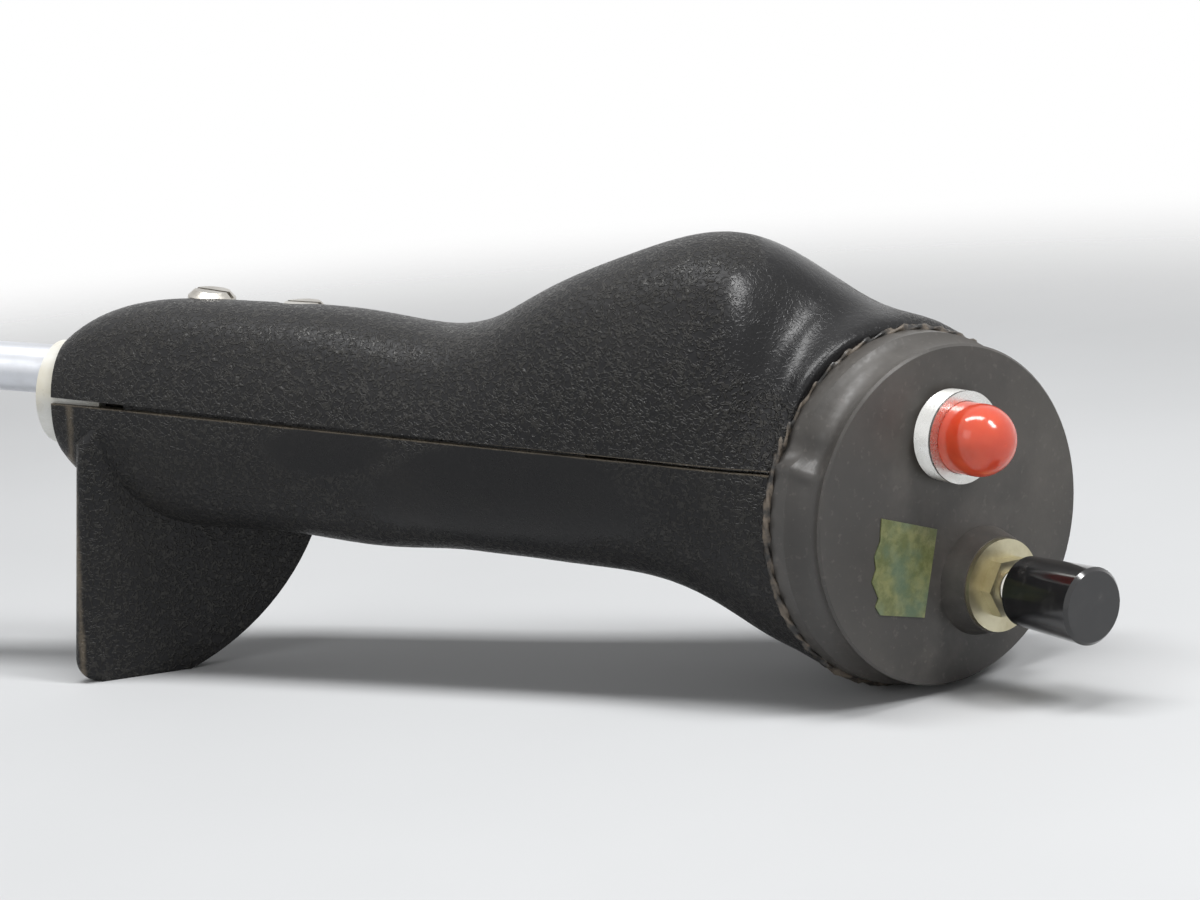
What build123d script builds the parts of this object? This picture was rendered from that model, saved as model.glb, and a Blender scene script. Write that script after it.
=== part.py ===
from build123d import *
from math import asin, atan, copysign, cos, degrees, pi, radians, sin, sqrt
import os

os.makedirs("parts", exist_ok=True)

# A hand-held aircraft control stick: two moulded grip shells on a light alloy tube,
# and a round head cap with a red and a black push button.
# The grip is modelled about the collar's axis: X runs from the tube to the head,
# +Z is the thumb side with the hump, -Z is the palm side with the hand rest,
# and -Y faces the pilot. At the end everything is laid down on the palm side,
# where it rests on the hand rest and on the rim of the head cap.

# Clearances
running_gap = 0.08      # radial, between a sliding piece and its bore
seat_gap = 0.05         # between fixed pieces
screw_gap = 0.3         # radial, round a screw and round its head
skin_gap = 0.15         # parting plane to the edge of each shell, at the head
spread = 0.9            # how much more the parting line opens at the collar

# Grip shells
wall = 2.4
grip_reach = 164.0      # collar end of the shells to the centre of the head seat
handle_far = 17.2       # collar axis to the far side of the handle
handle_up = 19.2        # collar axis to the thumb side of the handle
handle_down = 24.3      # collar axis to the palm side of the handle
shoulder = 20.0         # length over which the shells swell from the collar
near_flare = 0.093      # how fast the pilot's side leaves the axis
hump_up = 37.2          # collar axis to the top of the thumb hump
hump_back = 32.0        # hump before the centre of the head seat
fullness = 2.25         # exponent of the oval sections, 2 is an ellipse
groove = 1.7            # exponent where the thumb groove draws the section in
rib_height = 1.4        # locating ribs along the parting line
rib_thick = 2.0
rib_inset = 0.9         # outside of the shells to the ribs
rib_start = 16.0
rib_end = 112.0
room = 400.0            # larger than the grip, for the blocks that cut it

# Head seat, where the cap closes the shells
head_radius = 31.0
head_swing = 35.2       # turn of the head towards the pilot
head_pitch = 3.3        # turn of the head towards the thumb side
head_drop = 9.5
mouth_wall = 5.8
mouth_depth = 4.8

# Collar and stick tube
collar_radius = 10.0
collar_proud = 3.7
collar_depth = 10.0
lip = 0.7               # shell around the collar at the pilot's side
tube_radius = 4.8
tube_wall = 1.0
tube_rise = 4.2         # tube axis above the collar's axis
tube_inside = 36.0
tube_free = 130.0
tube_end_radius = 4.6   # turned down where the tube goes into its socket
tube_end_length = 60.0
tube_hole = 2.1         # radius of the cross hole at the free end
tube_hole_edge = 10.0
pin_radius = 1.5
pin_length = 13.0
pin_along = 17.0
saddle_length = 27.0
saddle_width = 15.0

# Screws that hold the shells together, and their brass inserts
screw_radius = 2.4
screw_head = 4.6
screw_head_height = 3.4
screw_chamfer = 1.2
screw_slot = 1.1
screw_slot_depth = 1.1
boss_radius = 5.0
insert_radius = 3.6
insert_length = 8.0
screw_bite = 7.0        # thread engaged in the insert
collar_screw_at = (23.5, 8.2)
collar_screw_lean = 5.0
collar_screw_seat = 16.8
handle_screw_at = (45.3, 6.5)
handle_screw_seat = 15.8
palm_screw_at = (108.0, 0.0)
palm_screw_seat = 20.6

# Hand rest, a plate that stands out of the palm side
rest_at = (7.2, -13.8)  # where the plate's shown face meets the pilot's side
rest_yaw = 56.0         # turn of the plate from square across the grip
rest_thick = 4.2
rest_depth = 54.3       # collar axis to the foot of the plate
rest_splay = 2.1        # how far the foot leans out past the top of the near edge
rest_top = 2.6
rest_blend = 4.5        # length of the slope that leads the near edge into the shell
rest_flat = 16.5
rest_reach = 46.0
rest_rise = 32.0        # foot to the point where the far edge runs into the shell
rest_bulge = 4.9        # sagitta of the far edge
rest_corner = 4.5
rest_edge = 1.6

# Head cap
cap_radius = 29.5
cap_height = 11.3
cap_face = 3.0
cap_cove = 1.2          # depth of the hollow round the cap's side
cap_wall = 3.0
cap_edge = 0.4
spigot_wall = 2.55
spigot_length = 4.6
spigot_root = 2.0       # thickness of the ring that joins the spigot to the cap
bead = 0.9              # stands out of the spigot's end, into the shells
bead_length = 1.4
button_boss_low = 9.6
button_boss_top = 8.4
button_boss_height = 4.5

# Both push buttons
spring_wire = 0.7
contact_thick = 0.7
rivet_radius = 1.0
rivet_head = 1.7
rivet_height = 0.5
terminal_width = 3.0
terminal_thick = 0.8
terminal_length = 7.0
terminal_hole = 0.7

# Red push button
red_at = (-0.4, 14.1)
red_thread = 7.94
red_thread_pitch = 0.9
red_thread_depth = 0.4
red_proud = 4.0
red_barrel_length = 18.0
red_floor = 3.0
red_button_radius = 6.2
red_dome_start = 7.6
red_skirt = 2.5
red_socket = 6.0
red_travel = 2.0
red_stem = 2.4
red_washer_radius = 10.2
red_washer_thick = 0.8
red_nut_height = 3.0
red_nut_flats = 19.0
red_neck = 6.0
red_neck_length = 2.5
red_body_radius = 8.2
red_body_length = 14.0
red_body_floor = 2.0
red_spring_radius = 4.2
red_spring_turns = 5
red_terminal_at = 3.2

# Black push button
black_at = (6.8, -12.4)
black_thread = 3.175
black_thread_pitch = 0.8
black_thread_depth = 0.3
black_washer_radius = 8.1
black_washer_thick = 0.9
black_nut_flats = 9.5
black_nut_height = 2.4
black_thread_shown = 2.4
black_stem = 1.5
black_knob_gap = 1.1
black_knob_length = 15.4
black_knob_back = 6.05
black_knob_front = 6.6
black_knob_edge = 0.6
black_knob_hollow = 5.0
black_travel = 1.6
black_flange = 1.6
black_neck = 5.0
black_neck_length = 1.0
black_body_radius = 6.4
black_body_length = 11.0
black_body_floor = 1.6
black_spring_radius = 2.6
black_spring_turns = 5
black_terminal_at = 3.9

# Remnant of tape on the cap's face, its corners from the middle of the face
tape_thick = 0.2
tape_outline = ((-6.7, -16.7), (-16.6, -14.6), (-17.6, -13.0), (-16.9, -11.6), (-18.3, -8.6),
                (-17.3, -6.6), (-17.6, -4.4), (-16.3, -2.0), (-15.9, 1.9), (-3.5, -1.8))


def around(points):
    """Solid of revolution about Z from (radius, height) points."""
    outline = Polyline(*[(r, 0, z) for r, z in points], close=True)
    return revolve(make_face(outline), Axis.Z)


def post(radius, low, high):
    return Pos(0, 0, low) * extrude(Circle(radius), amount=high - low)


def pipe(outer, inner, low, high):
    return post(outer, low, high) - post(inner, low - 1, high + 1)


def hexagon(flats, low, high):
    return Pos(0, 0, low) * extrude(RegularPolygon(flats / sqrt(3), 6), amount=high - low)


def block(x, y, low, high):
    """Block centred on Z, from one height to another."""
    return Pos(0, 0, low) * Box(x, y, high - low, align=(Align.CENTER, Align.CENTER, Align.MIN))


def thread(radius, low, high, pitch, depth):
    """Threaded rod, its thread as rings, which end in a plain rim at both ends."""
    count = int((high - low - pitch) / pitch)
    first = (low + high - count * pitch) / 2
    points = [(0, low), (radius, low)]
    for i in range(count):
        points.append((radius, first + i * pitch))
        points.append((radius - depth, first + (i + 0.5) * pitch))
    points += [(radius, first + count * pitch), (radius, high), (0, high)]
    return around(points)


def coil(radius, low, high, turns):
    """Compression spring about Z."""
    start, end = low + 0.6 * spring_wire, high - 0.6 * spring_wire
    path = Pos(0, 0, start) * Helix((end - start) / turns, end - start, radius)
    return sweep(Plane(origin=path @ 0, z_dir=path % 0) * Circle(spring_wire / 2), path=path)


def near_side(along, swing):
    """Station on the collar's axis to the straight pilot's side, along a swung section."""
    a = radians(swing)
    return (collar_radius + lip + near_flare * along) / (cos(a) + near_flare * sin(a))


def parting(plane, x, side, sink):
    """Height in a section's plane of a shell's edge at x, taken sink past the edge.

    side is 1 for the thumb side, whose edge rises towards the collar, and -1 for the palm side.
    """
    height = (skin_gap + spread if side > 0 else -skin_gap) - side * sink
    slope = spread / grip_reach if side > 0 else 0
    start, along, up = plane.origin, plane.x_dir, plane.y_dir
    rise = height - start.Z - x * along.Z - slope * (start.X + x * along.X)
    return rise / (up.Z + slope * up.X)


def half_oval(plane, near, far, up, down, thumb, side, sink=0.0, rest=fullness):
    """Half of a section, from the parting line to one side.

    x of the plane points away from the pilot, y to the thumb side. thumb is the exponent
    of the quarter where the thumb lies, rest that of the others.
    """
    middle_x, middle_y = (far - near) / 2, (up - down) / 2
    half_x, half_y = (far + near) / 2, (up + down) / 2

    def place(turn):
        c, s = cos(turn), sin(turn)
        power = 2 / (thumb if side > 0 and c < 0 < s else rest)
        x = copysign(half_x * abs(c) ** power, c)
        y = copysign(half_y * abs(s) ** power, s) * side
        return Vector(middle_x + x, middle_y + y)

    def end(start):
        x = middle_x + half_x * cos(start)
        for _ in range(9):
            tilt = (parting(plane, x, side, sink) - middle_y) * side / half_y
            power = thumb if side > 0 and tilt > 0 and start else rest
            turn = copysign(asin(abs(tilt) ** (power / 2)), tilt)
            turn = start - turn if start else turn
            x = place(turn).X
        return turn

    first, last = end(0), end(pi)
    count = 8
    points = [place(first + (last - first) * i / count) for i in range(count + 1)]
    edge = Edge.make_spline(points, parameters=[i / count for i in range(count + 1)])
    return plane * make_face(edge + Line(points[-1], points[0]))


def across(along, swing):
    """Plane across the grip, turned about Z towards the pilot by swing degrees."""
    a = radians(swing)
    return Plane(origin=(along, 0, 0), x_dir=(sin(a), cos(a), 0), z_dir=(cos(a), -sin(a), 0))


head_a, head_b = radians(head_swing), radians(head_pitch)
head_out = Vector(cos(head_b) * cos(head_a), -cos(head_b) * sin(head_a), sin(head_b))
head_side = Vector(sin(head_a), cos(head_a), 0)
head_seat = Plane(origin=(grip_reach, 0, -head_drop), x_dir=head_side, z_dir=head_out)
head_face = head_seat.offset(cap_height)


def on_face(at):
    """Place on the cap's face, its Z out of the head."""
    return head_face.location * Pos(at[0], at[1], 0)


def grip_form(side, inset=0.0, start=0.0):
    """Half of the grip's form from the collar to the head seat, drawn in by inset.

    side is 1 for the thumb side and -1 for the palm side.
    """
    hump = grip_reach - hump_back
    half_groove = (groove + 2) / 2
    rows = [
        (0.0, 0, collar_radius + lip, collar_radius + 1.6, collar_radius + 3.0, fullness),
        (0.4 * collar_depth, 0, handle_far - 4.0, handle_up - 4.6, handle_down - 6.8, fullness),
        (collar_depth, 0, handle_far - 1.6, handle_up - 2.1, handle_down - 3.2, fullness),
        (shoulder, 0, handle_far, handle_up - 0.3, handle_down - 0.3, fullness),
        (shoulder + 14, 0, handle_far + 0.2, handle_up + 0.2, handle_down, fullness),
        (shoulder + 32, 0, handle_far + 0.3, handle_up + 0.4, handle_down - 0.2, fullness),
        (hump - 52, 0, handle_far - 0.4, handle_up - 1.2, handle_down - 0.7, fullness),
        (hump - 42, 0, handle_far - 0.3, handle_up + 1.9, handle_down - 0.7, fullness),
        (hump - 33, 0, handle_far, hump_up - 10.9, handle_down - 0.5, fullness),
        (hump - 19, 0, handle_far + 1.0, hump_up - 4.7, handle_down, fullness),
        (hump - 8, 0, handle_far + 2.0, hump_up - 0.9, handle_down + 1.5, fullness),
        (hump, 2, handle_far + 3.2, hump_up, handle_down + 4.4, fullness),
        (hump + 14, 16, handle_far + 7.0, hump_up - 6.8, handle_down + 10.5, groove),
        (hump + 23, 26, head_radius - 2.4, hump_up - 12.4, handle_down + 13.4, half_groove),
    ]
    faces = []
    for along, swing, far, up, down, thumb in rows:
        if along >= start:
            near = near_side(along, swing)
            faces.append(half_oval(across(along, swing), near - inset, far - inset, up - inset,
                                   down - inset, thumb, side, inset / 2))
    radius = head_radius - inset * (mouth_wall + 1) / wall
    end = head_seat.offset(-mouth_depth / 2) if inset else head_seat
    faces.append(half_oval(end, radius, radius, radius, radius, 2, side, inset / 2, 2))
    form = loft(faces)
    if side > 0:
        return form
    # the ribs and bosses stand on the palm side's edge, so it is made a true plane
    outside, edge, *end_faces = reversed(form.faces().sort_by(SortBy.AREA))
    return Solid(Shell([outside, make_face(edge.outer_wire().edges()), *end_faces]))


def ribs(low, gap):
    """Locating ribs inside both walls along the parting line, or their slots with a gap."""
    size = (rib_end - rib_start + 2 * gap, rib_thick + 2 * gap, rib_height + gap - low)
    rib = Box(*size, align=(Align.MIN, Align.MAX, Align.MIN))
    far = Pos(rib_start - gap, handle_far - 0.4 - rib_inset + gap, low) * rib
    near_turn = Rot(0, 0, -degrees(atan(near_flare)))
    near = Pos(0, -collar_radius - lip, 0) * near_turn * Pos(
        rib_start - gap, rib_inset + rib_thick + gap, low) * rib
    return [far, near]


def hand_rest():
    """Plate of the hand rest, still longer than its foot, which the ground plane trims."""
    foot = -rest_depth - rest_thick
    top = (rest_blend, -rest_top)
    near_top = (0, -rest_top - rest_blend)
    near_foot = (-rest_splay, -rest_depth + rest_corner)
    corner_foot = (rest_corner - rest_splay, -rest_depth)
    corner = rest_corner * (1 - sqrt(0.5))
    end = (rest_reach, -rest_depth + rest_rise)
    outline = Curve() + [
        Line(top, near_top),
        Line(near_top, near_foot),
        ThreePointArc(near_foot, (corner - rest_splay, corner - rest_depth), corner_foot),
        Line(corner_foot, (corner_foot[0], foot)),
        Line((corner_foot[0], foot), (rest_flat, foot)),
        Line((rest_flat, foot), (rest_flat, -rest_depth)),
        SagittaArc((rest_flat, -rest_depth), end, -rest_bulge),
        Line(end, (rest_reach, -rest_top)),
        Line((rest_reach, -rest_top), top),
    ]
    plate = extrude(make_face(outline), amount=-rest_thick)
    flat = plate.edges().filter_by(Axis.Z, reverse=True)
    near_edges = flat.filter_by_position(Axis.X, -rest_splay, corner_foot[0] - skin_gap)
    plate = fillet(near_edges.filter_by_position(Axis.Y, -rest_depth, -rest_top), rest_edge)
    a = radians(rest_yaw)
    face = Plane(origin=(*rest_at, 0), x_dir=(sin(a), cos(a), 0), z_dir=(cos(a), -sin(a), 0))
    return face.location * plate


def screw_place(at, lean=0.0):
    """Axis of a shell screw, its height measured from the parting plane."""
    return Pos(at[0], at[1], 0) * Rot(0, lean, 0)


collar_screw_place = screw_place(collar_screw_at, collar_screw_lean)
handle_screw_place = screw_place(handle_screw_at)
palm_screw_place = screw_place(palm_screw_at) * Rot(180, 0, 0)
thumb_screws = ((collar_screw_place, collar_screw_seat), (handle_screw_place, handle_screw_seat))
tube_line = Pos(0, 0, tube_rise) * Rot(0, 90, 0)
collar_line = Rot(0, 90, 0)


def ends():
    """Room of the cap's spigot with its bead, and of the collar."""
    mouth_radius = head_radius - mouth_wall
    groove_end = bead_length + seat_gap - spigot_length
    return [
        head_seat.location * post(mouth_radius, -mouth_depth, 1),
        head_seat.location * post(mouth_radius + bead + seat_gap, -mouth_depth, groove_end),
        collar_line * post(collar_radius + seat_gap, -1, collar_depth),
    ]


def saddle(low, high):
    """Block that holds the tube behind the collar."""
    start = collar_depth + seat_gap
    return Pos(start + saddle_length / 2, 0, 0) * block(saddle_length, saddle_width, low, high)


def tube_room():
    """Room of the tube and of its cross pin, open to the parting line."""
    radius = tube_radius + seat_gap
    tube = tube_line * post(radius, 0, tube_inside + 2 * seat_gap)
    way_in = Pos(tube_inside / 2 + seat_gap, 0, 0) * block(tube_inside, 2 * radius, -room, tube_rise)
    pin = Pos(pin_along, 0, tube_rise) * Rot(90, 0, 0) * post(
        pin_radius + seat_gap, -pin_length / 2 - seat_gap, pin_length / 2 + seat_gap)
    pin_way = Pos(pin_along, 0, 0) * block(
        2 * (pin_radius + seat_gap), pin_length + 2 * seat_gap, -room, tube_rise)
    return tube, way_in + pin + pin_way


def make_left_shell(form, cavity):
    """Thumb side shell with its saddle and screw bosses."""
    tube, way_in = tube_room()
    bosses = [saddle(-1, room / 2), palm_screw_place * post(boss_radius, -room / 2, wall)]
    insert_end = skin_gap + spread + insert_length + seat_gap
    holes = [tube, way_in, palm_screw_place * post(insert_radius + seat_gap, -insert_end, 1)]
    for place, seat in thumb_screws:
        bosses.append(place * post(boss_radius, -wall, room / 2))
        bosses.append(place * post(screw_head + screw_gap + wall, seat - wall, room / 2))
        holes.append(place * post(screw_radius + screw_gap, -room / 4, seat + 1))
        holes.append(place * post(screw_head + screw_gap, seat, room / 4))
    shell = form - (cavity - bosses) - ends()
    return shell - ribs(-1, seat_gap) - holes


def make_right_shell(form, cavity):
    """Palm side shell with the hand rest, the ribs and the bosses of the inserts."""
    tube, way_in = tube_room()
    bosses = [
        saddle(-room / 2, 0),
        palm_screw_place * post(boss_radius, 0, room / 2),
        palm_screw_place * post(screw_head + screw_gap + wall, palm_screw_seat - wall, room / 2),
    ]
    holes = [
        tube,
        palm_screw_place * post(screw_radius + screw_gap, -1, palm_screw_seat + 1),
        palm_screw_place * post(screw_head + screw_gap, palm_screw_seat, room / 4),
    ]
    for place, seat in thumb_screws:
        bosses.append(place * post(boss_radius, -room / 2, wall))
        holes.append(place * post(insert_radius + seat_gap, -insert_length - skin_gap - spread, 1))
    shell = form + hand_rest() - (cavity - bosses) - ends()
    return shell + ribs(-wall, 0) - holes


def screw(length):
    """Slotted cheese head screw, its seat at height 0 and its shank down."""
    head = chamfer(post(screw_head, 0, screw_head_height).edges().group_by(Axis.Z)[-1], screw_chamfer)
    slot = block(room, screw_slot, screw_head_height - screw_slot_depth, room)
    shank = post(screw_radius, -length, 0)
    tip = chamfer(shank.edges().group_by(Axis.Z)[0], screw_radius / 4)
    return head - slot + tip


def make_thumb_screw(place, seat):
    return place * Pos(0, 0, seat) * screw(seat + screw_bite)


def make_palm_screw():
    length = palm_screw_seat + skin_gap + spread + screw_bite
    return palm_screw_place * Pos(0, 0, palm_screw_seat) * screw(length)


def make_inserts():
    """Brass inserts: two below the thumb screws, one above the palm screw."""
    sleeve = pipe(insert_radius, screw_radius + seat_gap, -insert_length, 0)
    low = Pos(0, 0, -skin_gap - spread / 2)
    return [place * low * sleeve for place, seat in thumb_screws] + [
        palm_screw_place * Pos(0, 0, -skin_gap - spread) * sleeve]


def make_collar():
    sleeve = collar_line * post(collar_radius, -collar_proud, collar_depth)
    return sleeve - tube_line * post(tube_radius + seat_gap, -room, room)


def make_tube():
    turned = tube_end_length - tube_free
    rod = post(tube_radius, turned, tube_inside) + post(tube_end_radius, -tube_free, turned)
    tube = tube_line * (rod - post(tube_radius - tube_wall, -room, room))
    pin_hole = Pos(pin_along, 0, tube_rise) * Rot(90, 0, 0) * post(pin_radius + seat_gap, -room, room)
    end_hole = Pos(tube_hole_edge - tube_free, 0, tube_rise) * Rot(90, 0, 0) * post(tube_hole, -room, room)
    return tube - pin_hole - end_hole


def make_pin():
    return Pos(pin_along, 0, tube_rise) * Rot(90, 0, 0) * post(pin_radius, -pin_length / 2, pin_length / 2)


def make_cap():
    """Head cap: a shallow cup with a hollow side, a spigot with a bead, and two button holes."""
    back, root = -cap_height, -cap_height + spigot_root
    waist = (cap_radius - cap_cove, -cap_height / 3)
    side_end = (head_radius - cap_edge / 2, -cap_height * 2 / 3)
    spigot = head_radius - mouth_wall - seat_gap
    end = back - spigot_length
    bead_top = end + bead_length
    inside = spigot - spigot_wall
    hollow = head_radius - cap_wall - cap_cove
    outline = Curve() + [
        Line((0, 0), (cap_radius - cap_edge, 0)),
        Line((cap_radius - cap_edge, 0), (cap_radius, -cap_edge)),
        ThreePointArc((cap_radius, -cap_edge), waist, side_end),
        Line(side_end, (head_radius, back)),
        Line((head_radius, back), (spigot, back)),
        Line((spigot, back), (spigot, bead_top)),
        Line((spigot, bead_top), (spigot + bead, bead_top)),
        Line((spigot + bead, bead_top), (spigot + bead, end)),
        Line((spigot + bead, end), (inside, end)),
        Line((inside, end), (inside, root)),
        Line((inside, root), (hollow, root)),
        Line((hollow, root), (hollow, -cap_face)),
        Line((hollow, -cap_face), (0, -cap_face)),
        Line((0, -cap_face), (0, 0)),
    ]
    cap = revolve(Plane.XZ * make_face(outline), Axis.Z)
    raised = Pos(*black_at, 0) * around([
        (0, -cap_face / 2), (button_boss_low, -cap_face / 2), (button_boss_low, 0),
        (button_boss_top, button_boss_height), (0, button_boss_height)])
    cap += raised
    cap -= Pos(*red_at, 0) * post(red_thread + seat_gap, -room, room)
    cap -= Pos(*black_at, 0) * post(black_thread + seat_gap, -room, room)
    return head_face.location * cap


def contact(radius):
    """Contact disc, held below a stem's shoulder at height 0."""
    return pipe(radius, rivet_radius + seat_gap, -contact_thick, 0)


def stem(radius, low, high):
    """Push rod with a thin riveted end below its shoulder at the low end."""
    rivet = low - contact_thick - seat_gap
    return around([(0, high), (radius, high), (radius, low), (rivet_radius, low), (rivet_radius, rivet),
                   (rivet_head, rivet), (rivet_head, rivet - rivet_height), (0, rivet - rivet_height)])


def terminals(at, high, low):
    """Two contact strips that pass through the floor of a switch body."""
    strip = block(terminal_thick, terminal_width, low, high)
    strip -= Pos(0, 0, low + terminal_width / 2) * Rot(0, 90, 0) * post(terminal_hole, -1, 1)
    return [Pos(at, 0, 0) * strip, Pos(-at, 0, 0) * strip]


def cup(outer, inner, low, high, floor, at):
    """Switch body, open at the top, with slots for its terminals."""
    body = post(outer, low, high) - post(inner, low + floor, high + 1)
    slot = block(terminal_thick + 2 * seat_gap, terminal_width + 2 * seat_gap, low - 1, high)
    return body - Pos(at, 0, 0) * slot - Pos(-at, 0, 0) * slot


red_low = red_proud - red_barrel_length
red_body_low = red_low - red_body_length
red_shoulder = red_low - red_neck_length - 2 * seat_gap


def make_red_barrel():
    barrel = thread(red_thread, red_low, red_proud, red_thread_pitch, red_thread_depth)
    barrel += post(red_neck, red_low - red_neck_length, red_low + seat_gap)
    barrel -= post(red_button_radius + running_gap, red_low + red_floor, room)
    return on_face(red_at) * (barrel - post(red_stem + running_gap, -room, room))


def make_red_lock_washer():
    bore = red_thread + seat_gap
    return on_face(red_at) * pipe(red_washer_radius, bore, -cap_face - red_washer_thick, -cap_face)


def make_red_lock_nut():
    high = -cap_face - red_washer_thick
    nut = hexagon(red_nut_flats, high - red_nut_height, high)
    return on_face(red_at) * (nut - post(red_thread + seat_gap, -room, room))


def make_red_button():
    skirt = post(red_button_radius, -red_skirt, red_dome_start)
    dome = Pos(0, 0, red_dome_start) * Sphere(red_button_radius)
    socket = post(red_stem + seat_gap, -room, red_socket - red_skirt)
    return on_face(red_at) * (skirt + dome - socket)


def make_red_stem():
    return on_face(red_at) * stem(red_stem, red_shoulder, red_socket - red_skirt - seat_gap)


def make_red_contact():
    reach = red_terminal_at + terminal_thick + seat_gap
    return on_face(red_at) * Pos(0, 0, red_shoulder) * contact(reach)


def make_red_spring():
    return on_face(red_at) * coil(red_spring_radius, red_low + red_floor, -red_skirt, red_spring_turns)


def make_red_body():
    bore = red_neck + seat_gap
    return on_face(red_at) * cup(red_body_radius, bore, red_body_low, red_low, red_body_floor,
                                 red_terminal_at)


def make_red_terminals():
    high = red_shoulder - contact_thick - red_travel - 2 * seat_gap
    return [on_face(red_at) * t
            for t in terminals(red_terminal_at, high, red_body_low - terminal_length)]


black_washer_top = button_boss_height + black_washer_thick
black_nut_top = black_washer_top + black_nut_height
black_bushing_top = black_nut_top + black_thread_shown
black_knob_low = black_bushing_top + black_knob_gap
black_flange_low = -cap_face - black_flange
black_body_low = black_flange_low - black_body_length
black_shoulder = black_flange_low - black_neck_length - 2 * seat_gap


def make_black_bushing():
    """Threaded bushing with the flange that closes the switch body."""
    rod = thread(black_thread, -cap_face - black_flange / 2, black_bushing_top,
                 black_thread_pitch, black_thread_depth)
    flange = post(black_body_radius, black_flange_low, -cap_face)
    neck = post(black_neck, black_flange_low - black_neck_length, black_flange_low + seat_gap)
    return on_face(black_at) * (rod + flange + neck - post(black_stem + running_gap, -room, room))


def make_black_washer():
    return on_face(black_at) * pipe(black_washer_radius, black_thread + seat_gap,
                                    button_boss_height, black_washer_top)


def make_black_nut():
    nut = hexagon(black_nut_flats, black_washer_top, black_nut_top)
    return on_face(black_at) * (nut - post(black_thread + seat_gap, -room, room))


def make_black_knob():
    """Push knob, slightly thicker at its front, hollow where it goes over the bushing."""
    high = black_knob_low + black_knob_length
    edge = black_knob_edge
    knob = around([(0, black_knob_low), (black_knob_back, black_knob_low),
                   (black_knob_front, high - edge), (black_knob_front - edge, high), (0, high)])
    knob -= post(black_thread + 3 * running_gap, -room, black_knob_low + black_knob_hollow)
    return on_face(black_at) * (knob - post(black_stem + seat_gap, -room, high - wall))


def make_black_stem():
    high = black_knob_low + black_knob_length - wall - seat_gap
    return on_face(black_at) * stem(black_stem, black_shoulder, high)


def make_black_contact():
    reach = black_terminal_at + terminal_thick
    return on_face(black_at) * Pos(0, 0, black_shoulder) * contact(reach)


def make_black_spring():
    high = black_shoulder - contact_thick
    return on_face(black_at) * coil(black_spring_radius, black_body_low + black_body_floor, high,
                                    black_spring_turns)


def make_black_body():
    return on_face(black_at) * cup(black_body_radius, black_neck + seat_gap, black_body_low,
                                   black_flange_low, black_body_floor, black_terminal_at)


def make_black_terminals():
    high = black_shoulder - contact_thick - black_travel - 2 * seat_gap
    return [on_face(black_at) * t
            for t in terminals(black_terminal_at, high, black_body_low - terminal_length)]


def make_tape():
    patch = make_face(Polyline(*tape_outline, close=True))
    return head_face.location * extrude(patch, amount=tape_thick)


def lay_down():
    """Turn that brings the foot of the hand rest and the rim of the head down to one level."""
    foot = Vector(rest_at[0], 0, -rest_depth)
    turn = 0.0
    for _ in range(30):
        up = Vector(-sin(turn), 0, cos(turn))
        rim = head_seat.origin.dot(up) - head_radius * sqrt(1 - head_out.dot(up) ** 2)
        turn += (rim - foot.dot(up)) / grip_reach
    return Rot(0, degrees(turn), 0), foot.dot(up)


nodes = {
    "left_shell": make_left_shell(grip_form(1), grip_form(1, wall, collar_depth)),
    "right_shell": make_right_shell(grip_form(-1), grip_form(-1, wall, collar_depth)),
    "head_cap": make_cap(),
    "collar_sleeve": make_collar(),
    "stick_tube": make_tube(),
    "tube_pin": make_pin(),
    "collar_screw": make_thumb_screw(*thumb_screws[0]),
    "handle_screw": make_thumb_screw(*thumb_screws[1]),
    "palm_screw": make_palm_screw(),
    "screw_inserts": make_inserts(),
    "red_barrel": make_red_barrel(),
    "red_lock_washer": make_red_lock_washer(),
    "red_lock_nut": make_red_lock_nut(),
    "red_button": make_red_button(),
    "red_stem": make_red_stem(),
    "red_contact": make_red_contact(),
    "red_spring": make_red_spring(),
    "red_switch_body": make_red_body(),
    "red_terminals": make_red_terminals(),
    "black_bushing": make_black_bushing(),
    "black_washer": make_black_washer(),
    "black_nut": make_black_nut(),
    "black_knob": make_black_knob(),
    "black_stem": make_black_stem(),
    "black_contact": make_black_contact(),
    "black_spring": make_black_spring(),
    "black_switch_body": make_black_body(),
    "black_terminals": make_black_terminals(),
    "tape_patch": make_tape(),
}

turn, ground = lay_down()
laid = {name: turn * (Compound(part) if isinstance(part, list) else part)
        for name, part in nodes.items()}
laid["right_shell"] -= Pos(0, 0, ground) * block(room * 2, room, -room, 0)
low = [min(tuple(part.bounding_box().min)[i] for part in laid.values()) for i in range(2)]
high = [max(tuple(part.bounding_box().max)[i] for part in laid.values()) for i in range(2)]
home = Pos(-(low[0] + high[0]) / 2, -(low[1] + high[1]) / 2, -ground)
for name, part in laid.items():
    export_step(home * part, f"parts/{name}.step")
print("laid at", [*low, ground], high)
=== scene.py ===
import math

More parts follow.
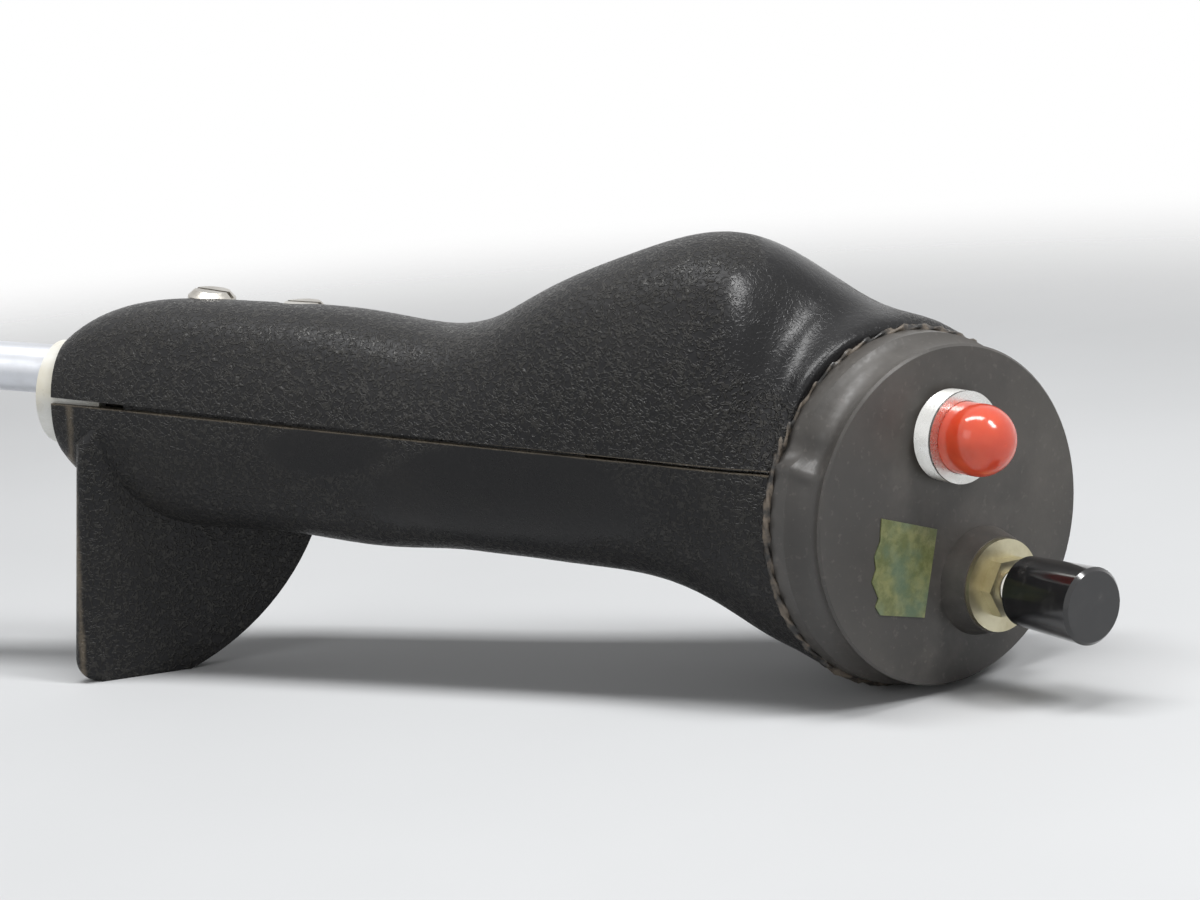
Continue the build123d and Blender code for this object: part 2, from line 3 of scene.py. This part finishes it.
import bpy
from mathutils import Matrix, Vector


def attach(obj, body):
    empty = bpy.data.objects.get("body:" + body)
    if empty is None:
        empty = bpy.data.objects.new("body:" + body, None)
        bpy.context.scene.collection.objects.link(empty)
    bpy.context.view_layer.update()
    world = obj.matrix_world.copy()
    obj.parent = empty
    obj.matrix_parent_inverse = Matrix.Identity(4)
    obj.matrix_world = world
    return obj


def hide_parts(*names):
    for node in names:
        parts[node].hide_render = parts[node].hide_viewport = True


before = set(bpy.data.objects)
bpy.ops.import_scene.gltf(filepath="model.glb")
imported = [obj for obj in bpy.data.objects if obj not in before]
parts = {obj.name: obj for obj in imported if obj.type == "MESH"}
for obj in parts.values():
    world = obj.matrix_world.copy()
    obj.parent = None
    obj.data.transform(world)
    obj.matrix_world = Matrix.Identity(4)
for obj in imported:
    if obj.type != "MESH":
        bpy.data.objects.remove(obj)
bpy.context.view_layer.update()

# Camera: at the height of the hump, in front of the pilot's side, with a long lens.
# It leans a little to one side, because the stick rests on its palm side and its tube rises.
camera_at = Vector((0.23406, -0.42975, 0.13298))
camera_way = Vector((-0.34677, 0.9177, -0.19388))
camera_roll = math.radians(-4.987)
bpy.ops.object.camera_add(location=camera_at)
camera = bpy.context.object
camera.data.sensor_width = 36
camera.data.lens = 78
camera.rotation_euler = camera_way.to_track_quat("-Z", "Y").to_euler()
camera.rotation_euler.rotate_axis("Z", camera_roll)
bpy.context.scene.camera = camera
bpy.context.scene.view_settings.view_transform = "Standard"

# Studio: a wide pale floor, a white surround for the camera and for reflections,
# a soft box above the far side, a strip light for the hump and a weak fill from the front.


def node(tree, kind, settings=None, **sockets):
    """Add a shader node. A socket given another node's output is linked, other values are set."""
    made = tree.nodes.new("ShaderNode" + kind)
    for name, value in (settings or {}).items():
        setattr(made, name, value)
    for name, value in sockets.items():
        socket = made.inputs[int(name[1:]) if name[0] == "_" else name.replace("_", " ")]
        if isinstance(value, bpy.types.NodeSocket):
            tree.links.new(value, socket)
        else:
            socket.default_value = value
    return made


def calc(tree, operation, a, b=0.0, clamp=False):
    """One step of arithmetic between two values."""
    made = node(tree, "Math", {"operation": operation, "use_clamp": clamp}, _0=a, _1=b)
    return made.outputs[0]


def blend(tree, mask, low, high):
    """Colour between low and high, by a mask."""
    made = tree.nodes.new("ShaderNodeMix")
    made.data_type = "RGBA"
    for place, value in ((0, mask), (6, low), (7, high)):
        if isinstance(value, bpy.types.NodeSocket):
            tree.links.new(value, made.inputs[place])
        else:
            made.inputs[place].default_value = value if place == 0 else (*value, 1)
    return made.outputs[2]


def level(tree, value, from_low, from_high, low=0.0, high=1.0):
    """Smooth step from one level to another while value goes over a range."""
    made = node(tree, "MapRange", {"interpolation_type": "SMOOTHSTEP"}, Value=value)
    for place, number in enumerate((from_low, from_high, low, high), 1):
        made.inputs[place].default_value = number
    return made.outputs[0]


def new_material(name):
    """Material with an empty tree, its shader and its object coordinates."""
    made = bpy.data.materials.new(name)
    made.use_nodes = True
    tree = made.node_tree
    shader = next(n for n in tree.nodes if n.type == "BSDF_PRINCIPLED")
    place = tree.nodes.new("ShaderNodeTexCoord").outputs["Object"]
    return made, tree, shader, place


def noise(tree, place, scale, detail=3.0, rough=0.5, distortion=0.0):
    """Fractal noise, its scale in waves per metre."""
    made = node(tree, "TexNoise", None, Vector=place, Scale=scale, Detail=detail,
                Roughness=rough, Distortion=distortion)
    return made.outputs["Fac"]


floor_size = 3.0
floor_colour = (0.66, 0.67, 0.68)
fade_start, fade_end = 0.32, 0.75
surround_light = 0.22
bpy.ops.object.select_all(action="DESELECT")
bpy.ops.mesh.primitive_plane_add(size=floor_size, location=(0, 0, 0))
floor = bpy.context.object
floor.name = "floor"
floor_paper, tree, shader, place = new_material("floor_paper")
cloudy = level(tree, noise(tree, place, 9.0), 0.3, 0.7)
tree.links.new(blend(tree, cloudy, floor_colour, tuple(0.97 * c for c in floor_colour)),
               shader.inputs["Base Color"])
shader.inputs["Roughness"].default_value = 0.75
shader.inputs["Specular IOR Level"].default_value = 0.2
away = node(tree, "VectorMath", {"operation": "LENGTH"}, _0=place).outputs["Value"]
clear = node(tree, "BsdfTransparent")
fading = node(tree, "MixShader", None, _0=level(tree, away, fade_start, fade_end),
              _1=shader.outputs[0], _2=clear.outputs[0])
surface = next(n for n in tree.nodes if n.type == "OUTPUT_MATERIAL")
tree.links.new(fading.outputs[0], surface.inputs["Surface"])
floor.data.materials.append(floor_paper)

world = bpy.data.worlds.new("surround")
bpy.context.scene.world = world
world.use_nodes = True
tree = world.node_tree
tree.nodes.clear()
seen = node(tree, "LightPath").outputs
straight = calc(tree, "MAXIMUM", seen["Is Camera Ray"], seen["Is Transmission Ray"])
straight = calc(tree, "MAXIMUM", straight, seen["Is Glossy Ray"])
strength = calc(tree, "MAXIMUM", straight, surround_light)
surround = node(tree, "Background", None, Color=(1, 1, 1, 1), Strength=strength)
node(tree, "OutputWorld", None, Surface=surround.outputs[0])

lamps = {
    "soft_box": ((0.0, -0.08, 0.85), (0.0, 0.0, 0.04), (0.7, 0.16), 5.4),
    "strip": ((0.62, -0.12, 0.62), (0.11, 0.0, 0.06), (0.14, 0.3), 3.0),
    "fill": ((-0.45, -0.9, 0.6), (0.05, 0.0, 0.04), (0.5, 0.5), 1.0),
}
for name, (at, to, size, power) in lamps.items():
    bpy.ops.object.light_add(type="AREA", location=at)
    lamp = bpy.context.object
    lamp.name = name
    lamp.data.shape = "RECTANGLE"
    lamp.data.size, lamp.data.size_y = size
    lamp.data.energy = power
    lamp.rotation_euler = (Vector(to) - Vector(at)).to_track_quat("-Z", "Y").to_euler()

# Grip shells: two black mouldings with a leather grain of short worms. Hands have worn the
# thumb groove and the middle of the palm side smooth, and rubbed the edges of the parting
# line and of the hand rest down to the bare, lighter plastic.
# The grain's raised worms are painted lighter, partly as wear and partly as painted sheen.
collar_at = Vector((-0.035465, 0.001846, 0.054720))
upright = Vector((0.086946, 0.0, 0.996213))
grip_way = Vector((0.996213, 0.0, -0.086946))
grain_pitch = 1.05e-3
grain_height = 2.4e-4


def new_group(name, inputs, outputs):
    """Shader node group with its own inputs and outputs, and their two nodes."""
    tree = bpy.data.node_groups.new(name, "ShaderNodeTree")
    for label, kind in inputs:
        tree.interface.new_socket(label, in_out="INPUT", socket_type="NodeSocket" + kind)
    for label, kind in outputs:
        tree.interface.new_socket(label, in_out="OUTPUT", socket_type="NodeSocket" + kind)
    return tree, tree.nodes.new("NodeGroupInput").outputs, tree.nodes.new("NodeGroupOutput").inputs


def use(tree, group, **sockets):
    """Place a group in a material and give back its outputs."""
    made = node(tree, "Group", {"node_tree": group})
    for name, value in sockets.items():
        socket = made.inputs[name.replace("_", " ")]
        if isinstance(value, bpy.types.NodeSocket):
            tree.links.new(value, socket)
        else:
            socket.default_value = value
    return made.outputs


# worm grain: bent ridges of a distorted noise, broken into short pieces by a coarser one
grain, given, result = new_group("worm_grain", [("Vector", "Vector"), ("Scale", "Float")],
                                 [("Height", "Float"), ("Tops_and_sheen", "Float")])
place = node(grain, "VectorMath", {"operation": "SCALE"}, _0=given["Vector"],
             Scale=given["Scale"]).outputs[0]
wave = noise(grain, place, 0.95, 1.5, 0.55, 0.5)
ridge = calc(grain, "ABSOLUTE", calc(grain, "SUBTRACT", wave, 0.5))
ridge = level(grain, ridge, 0.02, 0.09, 1.0, 0.0)
second = noise(grain, place, 0.9, 1.0, 0.5, 0.6)
breaks = level(grain, second, 0.3, 0.42)
worms = calc(grain, "MULTIPLY", ridge, breaks)
pebble = node(grain, "TexVoronoi", {"feature": "SMOOTH_F1"}, Vector=place, Scale=0.8,
              Smoothness=0.6).outputs["Distance"]
height = calc(grain, "ADD", worms, calc(grain, "MULTIPLY", pebble, -0.55))
grain.links.new(height, result["Height"])
# the worms' tops: used for wear and for a painted sheen on the raised worms
grain.links.new(worms, result["Tops_and_sheen"])

# a patch round a point, its edge broken up by noise: wear on the shells, a darker colour round the cap's button holes
round_patch, given, result = new_group("round_patch", [("Vector", "Vector"), ("Centre", "Vector"), ("Reach", "Vector")],
                               [("Mask", "Float")])
apart = node(round_patch, "VectorMath", {"operation": "SUBTRACT"}, _0=given["Vector"], _1=given["Centre"])
apart = node(round_patch, "VectorMath", {"operation": "DIVIDE"}, _0=apart.outputs[0], _1=given["Reach"])
far = node(round_patch, "VectorMath", {"operation": "LENGTH"}, _0=apart.outputs[0]).outputs["Value"]
broken = calc(round_patch, "MULTIPLY", calc(round_patch, "SUBTRACT", noise(round_patch, given["Vector"], 120.0, 4.0), 0.5), 0.5)
round_patch.links.new(level(round_patch, calc(round_patch, "ADD", far, broken), 0.75, 1.05, 1.0, 0.0), result["Mask"])

# line wear: a thin worn line along a plane, given by its normal and its distance
line_wear, given, result = new_group(
    "line_wear", [("Vector", "Vector"), ("Normal", "Vector"), ("Distance", "Float"),
                  ("Width", "Float")], [("Mask", "Float")])
height = node(line_wear, "VectorMath", {"operation": "DOT_PRODUCT"}, _0=given["Vector"],
              _1=given["Normal"]).outputs["Value"]
apart = calc(line_wear, "ABSOLUTE", calc(line_wear, "SUBTRACT", height, given["Distance"]))
ratio = calc(line_wear, "DIVIDE", apart, given["Width"])
patchy = noise(line_wear, given["Vector"], 260.0, 5.0, 0.65)
ratio = calc(line_wear, "ADD", ratio, calc(line_wear, "MULTIPLY", patchy, 1.5))
line_wear.links.new(level(line_wear, ratio, 0.7, 1.6, 1.0, 0.0), result["Mask"])

# dust: pale specks and films, spread by noise
dust, given, result = new_group("dust", [("Vector", "Vector"), ("Amount", "Float")],
                                [("Mask", "Float")])
film = level(dust, noise(dust, given["Vector"], 45.0, 5.0, 0.65), 0.42, 0.75)
specks = level(dust, noise(dust, given["Vector"], 900.0, 2.0, 0.5), 0.6, 0.72)
film = calc(dust, "ADD", film, calc(dust, "MULTIPLY", specks, 0.6), True)
dust.links.new(calc(dust, "MULTIPLY", film, given["Amount"]), result["Mask"])


def on_grip(along, across, up):
    """Place given along, across and above the collar's axis, in millimetres."""
    side = Vector((0, 1, 0))
    return collar_at + (grip_way * along + side * across + upright * up) * 1e-3


def shell_finish(name, smooth_patches, rubbed_lines, depth):
    """Black grained plastic, its raised worms painted lighter as wear and painted sheen, smooth and glossy in the
    patches, pale along the lines.
    """
    made, tree, shader, place = new_material(name)
    worn = None
    for centre, reach in smooth_patches:
        mask = use(tree, round_patch, Vector=place, Centre=on_grip(*centre), Reach=Vector(reach) * 1e-3)["Mask"]
        worn = mask if worn is None else calc(tree, "MAXIMUM", worn, mask)
    bare = None
    for normal, distance, width in rubbed_lines:
        mask = use(tree, line_wear, Vector=place, Normal=normal, Distance=distance, Width=width)["Mask"]
        bare = mask if bare is None else calc(tree, "MAXIMUM", bare, mask)
    skin = use(tree, grain, Vector=place, Scale=1 / grain_pitch)
    kept = calc(tree, "SUBTRACT", 1.0, calc(tree, "MULTIPLY", worn, 0.93))
    worn_and_sheen_tops = calc(tree, "MULTIPLY", skin["Tops_and_sheen"], kept)
    dirty = use(tree, dust, Vector=place, Amount=0.35)["Mask"]
    # worm tops painted lighter: part wear, part painted sheen
    tone = blend(tree, worn_and_sheen_tops, (0.007, 0.007, 0.008), (0.024, 0.023, 0.021))
    tone = blend(tree, calc(tree, "MULTIPLY", dirty, 0.4), tone, (0.05, 0.046, 0.04))
    tone = blend(tree, calc(tree, "MULTIPLY", bare, 0.6), tone, (0.2, 0.165, 0.12))
    tree.links.new(tone, shader.inputs["Base Color"])
    rough = level(tree, worn, 0.0, 1.0, 0.38, 0.2)
    rough = calc(tree, "SUBTRACT", rough, calc(tree, "MULTIPLY", worn_and_sheen_tops, 0.16))
    smear = noise(tree, place, 70.0, 5.0, 0.6)
    rough = calc(tree, "ADD", rough, calc(tree, "MULTIPLY", smear, 0.16))
    tree.links.new(rough, shader.inputs["Roughness"])
    shader.inputs["Specular IOR Level"].default_value = 0.28
    bumpy = calc(tree, "MULTIPLY", skin["Height"], kept)
    bumpy = calc(tree, "ADD", bumpy, calc(tree, "MULTIPLY", noise(tree, place, 130.0, 3.0), 0.8))
    bump = node(tree, "Bump", None, Height=bumpy, Distance=depth, Strength=1.0)
    tree.links.new(bump.outputs[0], shader.inputs["Normal"])
    return made


def dress(names, material):
    """Give a material to carried-over parts."""
    for name in names:
        slots = parts[name].data.materials
        slots.clear()
        slots.append(material)


edge_height = upright.dot(collar_at)
upper_edge = (upright, edge_height + 0.5e-3, 0.15e-3)
lower_edge = (upright, edge_height - 0.2e-3, 0.3e-3)
rest_normal = (grip_way * math.sin(math.radians(56)) + Vector((0, 1, 0)) * math.cos(math.radians(56)))
rest_edge = (rest_normal, rest_normal.dot(on_grip(7.2, -13.8, -30)) - 1.0e-3, 1.0e-3)
thumb_shell = shell_finish("thumb_shell_plastic", [((152, -14, 26), (19, 24, 17)), ((146, 4, 34), (12, 16, 8))],
                           [upper_edge], grain_height)
palm_shell = shell_finish("palm_shell_plastic", [((94, -20, -10), (34, 14, 12)), ((60, -16, -4), (16, 8, 5))],
                          [lower_edge, rest_edge], 0.7 * grain_height)
dress(["left_shell"], thumb_shell)
dress(["right_shell"], palm_shell)

# Collar and tube: a smooth white plastic sleeve, yellowed in patches, pressed round a tube
# of light grey metal with fine lengthwise drawing marks and dull handling smears.
sleeve_plastic, tree, shader, place = new_material("sleeve_plastic")
yellowed = level(tree, noise(tree, place, 110.0, 4.0), 0.35, 0.75)
tree.links.new(blend(tree, yellowed, (0.82, 0.82, 0.78), (0.7, 0.66, 0.54)), shader.inputs["Base Color"])
tree.links.new(level(tree, noise(tree, place, 300.0), 0.3, 0.7, 0.25, 0.4), shader.inputs["Roughness"])
dress(["collar_sleeve"], sleeve_plastic)


def drawn_metal(name, pale, dull, low, high, stretch, marks):
    """Metal with fine marks along one direction and dull smears."""
    made, tree, shader, place = new_material(name)
    drawn = node(tree, "Mapping", {"vector_type": "POINT"}, Vector=place, Scale=stretch)
    scratches = noise(tree, drawn.outputs[0], marks, 4.0, 0.7)
    smears = noise(tree, place, 90.0, 5.0, 0.6)
    tree.links.new(blend(tree, level(tree, smears, 0.35, 0.7), pale, dull), shader.inputs["Base Color"])
    rough = calc(tree, "MULTIPLY", calc(tree, "ADD", scratches, smears), 0.5)
    tree.links.new(level(tree, rough, 0.3, 0.7, low, high), shader.inputs["Roughness"])
    bump = node(tree, "Bump", None, Height=scratches, Distance=2e-5, Strength=0.6)
    tree.links.new(bump.outputs[0], shader.inputs["Normal"])
    shader.inputs["Metallic"].default_value = 1.0
    return made


tube_metal = drawn_metal("tube_metal", (0.66, 0.68, 0.72), (0.56, 0.57, 0.6), 0.3, 0.48, (0.04, 1, 1), 900.0)
dress(["stick_tube"], tube_metal)

# Screws, pin and inserts: slotted cheese heads of bright steel with dull smears,
# a plain steel pin and knurled brass inserts inside the grip.
screw_steel = drawn_metal("screw_steel", (0.52, 0.5, 0.46), (0.3, 0.28, 0.25), 0.22, 0.5, (1, 1, 1), 1500.0)
insert_brass = drawn_metal("insert_brass", (0.72, 0.54, 0.25), (0.5, 0.37, 0.18), 0.3, 0.5, (1, 1, 1), 1200.0)
dress(["collar_screw", "handle_screw", "palm_screw", "tube_pin", "red_lock_washer", "red_stem",
       "red_spring", "black_stem", "black_spring"], screw_steel)
dress(["screw_inserts", "red_lock_nut", "red_contact", "red_terminals", "black_contact",
       "black_terminals"], insert_brass)

# Head cap: satin dark grey plastic with a brownish sheen, moulded round with a raised boss.
# It has fine pits, a film of dust, and a darker colour round the holes of both buttons.
face_at = Vector((0.13633, -0.004657, 0.030842))
head_out = Vector((0.817706, -0.575476, -0.013584))
head_side = Vector((0.57422, 0.8171, -0.05012))
head_up = Vector((0.03995, 0.033, 0.9983))


def on_face(side, up, out=0.0):
    """Place on the cap's face, in millimetres from its middle."""
    return face_at + (head_side * side + head_up * up + head_out * out) * 1e-3


cap_plastic, tree, shader, place = new_material("cap_plastic")
# darker colour in a patch round each button's hole
red_hole_patch = use(tree, round_patch, Vector=place, Centre=on_face(-0.4, 14.1), Reach=Vector((9.3, 9.3, 9.3)) * 1e-3)["Mask"]
black_hole_patch = use(tree, round_patch, Vector=place, Centre=on_face(6.8, -12.4, 4.5), Reach=Vector((8.6, 8.6, 8.6)) * 1e-3)["Mask"]
round_the_holes = calc(tree, "MAXIMUM", red_hole_patch, black_hole_patch)
film = use(tree, dust, Vector=place, Amount=0.7)["Mask"]
mottled = level(tree, noise(tree, place, 35.0, 4.0), 0.35, 0.7)
tone = blend(tree, mottled, (0.05, 0.047, 0.044), (0.075, 0.069, 0.062))
tone = blend(tree, film, tone, (0.12, 0.11, 0.1))
# darker colour round both buttons' holes
tone = blend(tree, calc(tree, "MULTIPLY", round_the_holes, 0.8), tone, (0.022, 0.016, 0.011))
tree.links.new(tone, shader.inputs["Base Color"])
pits = noise(tree, place, 700.0, 3.0, 0.6)
rough = calc(tree, "ADD", level(tree, pits, 0.35, 0.65, 0.34, 0.44), calc(tree, "MULTIPLY", film, 0.15))
tree.links.new(rough, shader.inputs["Roughness"])
bump = node(tree, "Bump", None, Height=pits, Distance=4e-5, Strength=0.7)
tree.links.new(bump.outputs[0], shader.inputs["Normal"])


def only(obj):
    """Select one object alone and make it the active one."""
    bpy.ops.object.select_all(action="DESELECT")
    obj.select_set(True)
    bpy.context.view_layer.objects.active = obj


def closed_copy(part, name):
    """Copy of a carried-over part, its loose triangles joined, for shaping."""
    made = bpy.data.objects.new(name, part.data.copy())
    bpy.context.collection.objects.link(made)
    only(made)
    bpy.ops.object.mode_set(mode="EDIT")
    bpy.ops.mesh.select_all(action="SELECT")
    bpy.ops.mesh.remove_doubles(threshold=1e-6)
    bpy.ops.mesh.select_all(action="DESELECT")
    bpy.ops.object.mode_set(mode="OBJECT")
    bpy.ops.mesh.customdata_custom_splitnormals_clear()
    return made


# the cap was once pried off: a notch pressed into its side near the shells, with a raised lip
dent_turn = math.radians(152)
dent_reach = 8.5e-3
dent_at = on_face(29.2 * math.cos(dent_turn), 29.2 * math.sin(dent_turn), -7.5)
dent_in = -(head_side * math.cos(dent_turn) + head_up * math.sin(dent_turn))
dent_up = head_up * math.cos(dent_turn) - head_side * math.sin(dent_turn)
cap = closed_copy(parts["head_cap"], "dented_cap")
for face in cap.data.polygons:
    face.select = (face.center - dent_at).length < dent_reach and face.normal.dot(dent_in) < -0.3
bpy.ops.object.mode_set(mode="EDIT")
bpy.ops.mesh.subdivide(number_cuts=5)
bpy.ops.object.mode_set(mode="OBJECT")
for corner in cap.data.vertices:
    apart = corner.co - dent_at
    out = apart.dot(head_out) / 4.2e-3
    along = apart.dot(dent_up) / 2.6e-3
    if apart.length < dent_reach and apart.dot(dent_in) < 2.5e-3:
        near = math.exp(-(out * out + along * along))
        lip = math.exp(-((along - 1.5) ** 2 * 4 + out * out))
        corner.co += dent_in * (1.5e-3 * near - 0.7e-3 * lip)
only(cap)
bpy.ops.object.shade_smooth_by_angle(angle=math.radians(32))
cap.data.materials.clear()
cap.data.materials.append(cap_plastic)
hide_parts("head_cap")
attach(cap, "grip")

# Rough edge of the shells' mouth: the grained skin ends there in a narrow twisted rim,
# squeezed out round the cap when the shells were closed on it, rubbed pale brown.
rim_radius, rim_thick = 31.15e-3, 0.72e-3
rim_twists, rim_strands = 46, 3
bpy.ops.object.select_all(action="DESELECT")
bpy.ops.mesh.primitive_torus_add(
    major_segments=920, minor_segments=12, major_radius=rim_radius, minor_radius=rim_thick,
    location=on_face(0, 0, -11.45), rotation=head_out.to_track_quat("Z", "Y").to_euler())
rim = bpy.context.object
rim.name = "mouth_rim"
for corner in rim.data.vertices:
    turn = math.atan2(corner.co.y, corner.co.x)
    middle = Vector((math.cos(turn), math.sin(turn), 0)) * rim_radius
    spoke = corner.co - middle
    about = math.atan2(spoke.z, spoke.dot(middle.normalized()))
    lump = 0.25 * math.sin(17 * turn) * math.sin(29 * turn + 1.3) + 0.12 * math.sin(71 * turn)
    strand = 0.34 * math.cos(rim_strands * about - rim_twists * turn)
    corner.co = middle + spoke * (0.8 + lump + strand)
bpy.ops.object.transform_apply(location=True, rotation=True, scale=True)
bpy.ops.object.shade_smooth()
rim_plastic, tree, shader, place = new_material("rim_plastic")
rubbed = level(tree, noise(tree, place, 260.0, 5.0, 0.65), 0.42, 0.62)
tree.links.new(blend(tree, rubbed, (0.018, 0.017, 0.016), (0.16, 0.13, 0.1)), shader.inputs["Base Color"])
tree.links.new(level(tree, rubbed, 0.0, 1.0, 0.3, 0.5), shader.inputs["Roughness"])
rim.data.materials.append(rim_plastic)
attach(rim, "grip")

# Red push button: a glossy translucent red dome in a threaded aluminium barrel,
# with a moulded brown switch body behind the face.
dome_plastic, tree, shader, place = new_material("dome_plastic")
fade = level(tree, noise(tree, place, 130.0, 3.0), 0.35, 0.7)
tree.links.new(blend(tree, fade, (0.74, 0.085, 0.03), (0.66, 0.06, 0.022)), shader.inputs["Base Color"])
tree.links.new(level(tree, noise(tree, place, 400.0), 0.3, 0.7, 0.12, 0.22), shader.inputs["Roughness"])
shader.inputs["Subsurface Weight"].default_value = 0.35
shader.inputs["Subsurface Radius"].default_value = (0.004, 0.0012, 0.0006)
shader.inputs["Coat Weight"].default_value = 0.4
shader.inputs["Coat Roughness"].default_value = 0.06
dress(["red_button"], dome_plastic)
barrel_metal = drawn_metal("barrel_metal", (0.78, 0.78, 0.76), (0.6, 0.59, 0.56), 0.2, 0.38, (1, 1, 1), 1400.0)
dress(["red_barrel"], barrel_metal)

# Black push button: a glossy turned knob on a nickelled bushing, held by a hexagon nut and
# a large washer, both of yellowed zinc.
knob_plastic, tree, shader, place = new_material("knob_plastic")
scuff = level(tree, noise(tree, place, 240.0, 5.0, 0.65), 0.5, 0.75)
tree.links.new(blend(tree, scuff, (0.008, 0.008, 0.009), (0.03, 0.029, 0.028)), shader.inputs["Base Color"])
tree.links.new(level(tree, scuff, 0.0, 1.0, 0.16, 0.3), shader.inputs["Roughness"])
shader.inputs["Coat Weight"].default_value = 0.5
shader.inputs["Coat Roughness"].default_value = 0.1
dress(["black_knob"], knob_plastic)
zinc = drawn_metal("yellowed_zinc", (0.62, 0.58, 0.42), (0.42, 0.37, 0.24), 0.28, 0.45, (1, 1, 1), 1500.0)
nickel = drawn_metal("nickel", (0.8, 0.78, 0.72), (0.6, 0.57, 0.5), 0.12, 0.26, (1, 1, 1), 1300.0)
dress(["black_washer", "black_nut"], zinc)
dress(["black_bushing"], nickel)
switch_moulding, tree, shader, place = new_material("switch_moulding")
mottled = level(tree, noise(tree, place, 220.0, 4.0), 0.35, 0.7)
tree.links.new(blend(tree, mottled, (0.075, 0.035, 0.018), (0.11, 0.055, 0.03)), shader.inputs["Base Color"])
tree.links.new(level(tree, mottled, 0.0, 1.0, 0.4, 0.55), shader.inputs["Roughness"])
dress(["red_switch_body", "black_switch_body"], switch_moulding)

# Tape remnant: what is left of a plain label under yellowed glue, olive with fibres,
# with teal blotches where the print's blue has kept.
tape, tree, shader, place = new_material("tape")
fibres = level(tree, noise(tree, place, 420.0, 5.0, 0.65), 0.35, 0.7)
blotch = level(tree, noise(tree, place, 160.0, 4.0), 0.4, 0.65)
tone = blend(tree, fibres, (0.13, 0.15, 0.055), (0.25, 0.26, 0.11))
tone = blend(tree, calc(tree, "MULTIPLY", blotch, 0.5), tone, (0.07, 0.15, 0.13))
tree.links.new(tone, shader.inputs["Base Color"])
tree.links.new(level(tree, blotch, 0.0, 1.0, 0.3, 0.5), shader.inputs["Roughness"])
bump = node(tree, "Bump", None, Height=fibres, Distance=8e-5, Strength=0.7)
tree.links.new(bump.outputs[0], shader.inputs["Normal"])
dress(["tape_patch"], tape)
